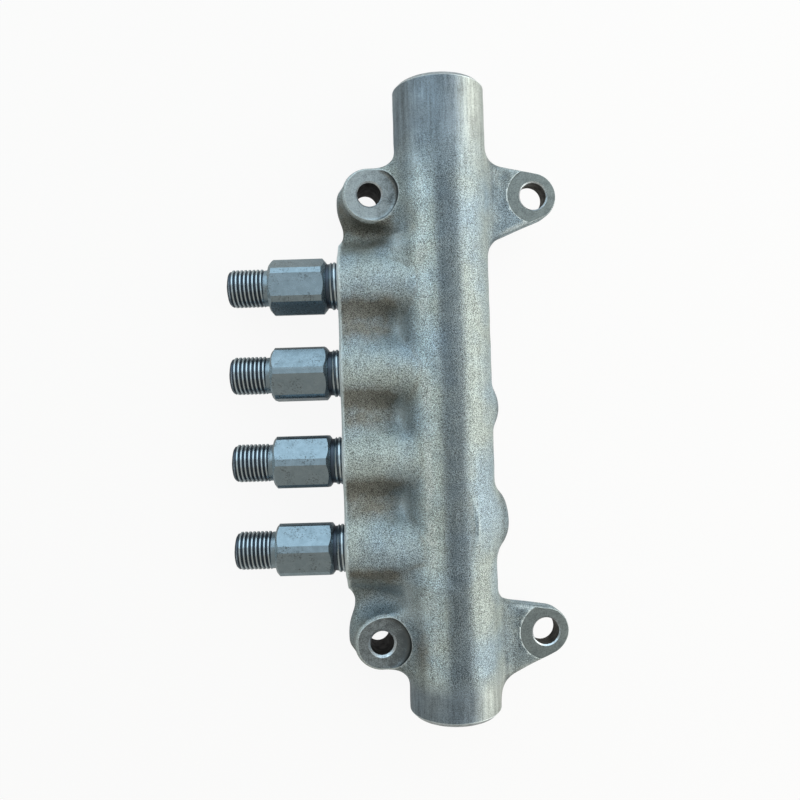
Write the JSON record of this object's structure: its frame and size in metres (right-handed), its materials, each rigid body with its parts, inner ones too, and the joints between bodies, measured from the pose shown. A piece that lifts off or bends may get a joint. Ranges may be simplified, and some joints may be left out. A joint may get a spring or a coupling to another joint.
{
  "type": "fuel rail",
  "caption": "Diesel common fuel rail: a long forged barrel with a ribbed outlet gallery, hexagon damper fittings with pipe threads, tall bolt bosses and thin bolt lugs.",
  "frame": {"origin": "midway between the two long bolt holes, on their seat", "axes": "+Y along the barrel, +Z away from the engine along the bolts, outlets toward -X"},
  "size_m": [0.1244, 0.232, 0.034],
  "materials": {
    "forged_steel": "shot-blasted forging with a thin oxide tint",
    "plated_steel": "turned and milled, zinc plated",
    "hardened_steel": "hardened and ground",
    "spring_steel": "drawn spring wire",
    "soft_steel": "soft sealing ring"
  },
  "bodies": {
    "rail": {"rail_body": "forged_steel", "damper_housing_1": "plated_steel", "damper_stop_1": "hardened_steel", "seat_washer_1": "soft_steel", "damper_spring_1": "spring_steel", "damper_housing_2": "plated_steel", "damper_stop_2": "hardened_steel", "seat_washer_2": "soft_steel", "damper_spring_2": "spring_steel", "damper_housing_3": "plated_steel", "damper_stop_3": "hardened_steel", "seat_washer_3": "soft_steel", "damper_spring_3": "spring_steel", "damper_housing_4": "plated_steel", "damper_stop_4": "hardened_steel", "seat_washer_4": "soft_steel", "damper_spring_4": "spring_steel"},
    "piston_1": {"damper_piston_1": "hardened_steel"},
    "piston_2": {"damper_piston_2": "hardened_steel"},
    "piston_3": {"damper_piston_3": "hardened_steel"},
    "piston_4": {"damper_piston_4": "hardened_steel"}
  },
  "joints": [
    {"name": "damper_slide_1", "type": "slide", "parent": "rail", "child": "piston_1", "axis": [-0.9925, 0, -0.1219], "range_m": [0, 0.003], "stiffness_N_per_m": 2000, "springref_m": -0.003, "deforming": ["damper_spring_1"]},
    {"name": "damper_slide_2", "type": "slide", "parent": "rail", "child": "piston_2", "axis": [-0.9925, 0, -0.1219], "range_m": [0, 0.003], "stiffness_N_per_m": 2000, "springref_m": -0.003, "deforming": ["damper_spring_2"]},
    {"name": "damper_slide_3", "type": "slide", "parent": "rail", "child": "piston_3", "axis": [-0.9925, 0, -0.1219], "range_m": [0, 0.003], "stiffness_N_per_m": 2000, "springref_m": -0.003, "deforming": ["damper_spring_3"]},
    {"name": "damper_slide_4", "type": "slide", "parent": "rail", "child": "piston_4", "axis": [-0.9925, 0, -0.1219], "range_m": [0, 0.003], "stiffness_N_per_m": 2000, "springref_m": -0.003, "deforming": ["damper_spring_4"]}
  ]
}
